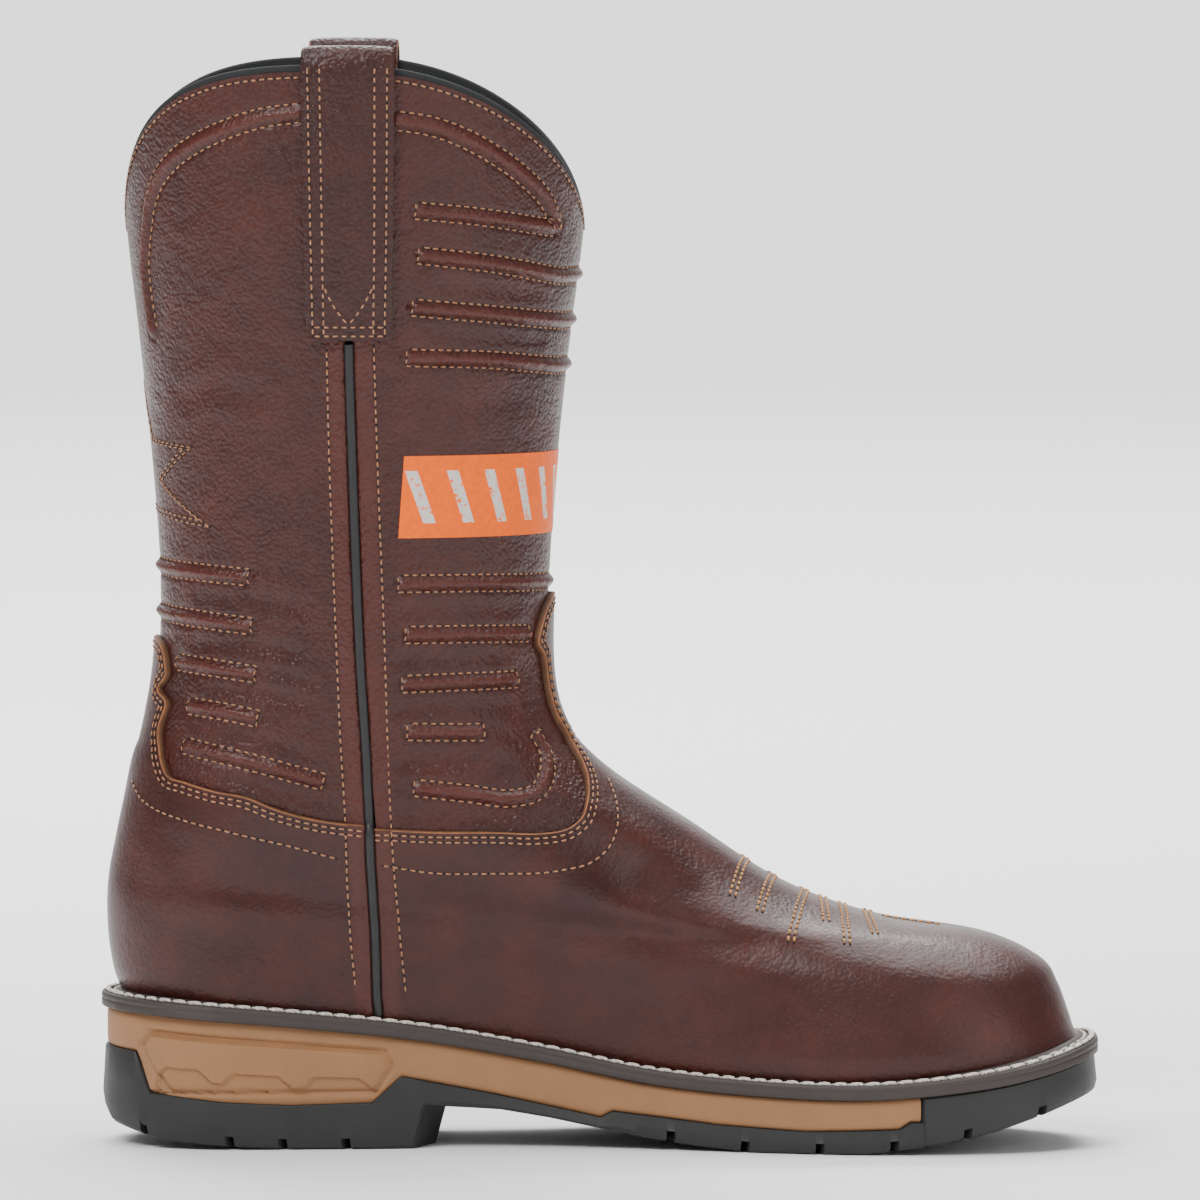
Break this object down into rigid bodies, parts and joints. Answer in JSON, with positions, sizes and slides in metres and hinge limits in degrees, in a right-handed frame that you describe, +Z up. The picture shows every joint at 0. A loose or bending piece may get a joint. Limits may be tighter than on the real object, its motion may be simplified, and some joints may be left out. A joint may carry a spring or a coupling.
{
  "type": "western work boot",
  "caption": "Pull-on western work boot with a scalloped leather shaft, side seams, pull straps and a welted, heeled sole",
  "frame": {"origin": "on the floor under the middle of the heel, where the boot rests", "axes": "+X to the toe, +Z up, -Y to the inner (big toe) side of a left boot"},
  "size_m": [0.305, 0.1234, 0.3356],
  "materials": {
    "dark_rubber": "matt moulded dark grey rubber",
    "tan_midsole": "matt moulded tan foam rubber",
    "welt": "dark brown grey welt strip with pale stitching",
    "insole_cloth": "dark cloth over foam",
    "shaft_leather": "reddish dark brown leather, soft gloss, fine pebble grain",
    "vamp_leather": "reddish dark brown leather, soft gloss, fine grain",
    "piping": "black cord in the side seam",
    "strap_leather": "reddish dark brown leather with raw tan edges"
  },
  "bodies": {
    "root": {"outsole": "dark_rubber", "midsole": "tan_midsole", "welt": "welt", "insole": "insole_cloth", "upper": "shaft_leather", "vamp": "vamp_leather", "counter": "vamp_leather", "piping_inner": "piping", "piping_outer": "piping", "pull_strap_inner": "strap_leather", "pull_strap_outer": "strap_leather"}
  },
  "joints": []
}
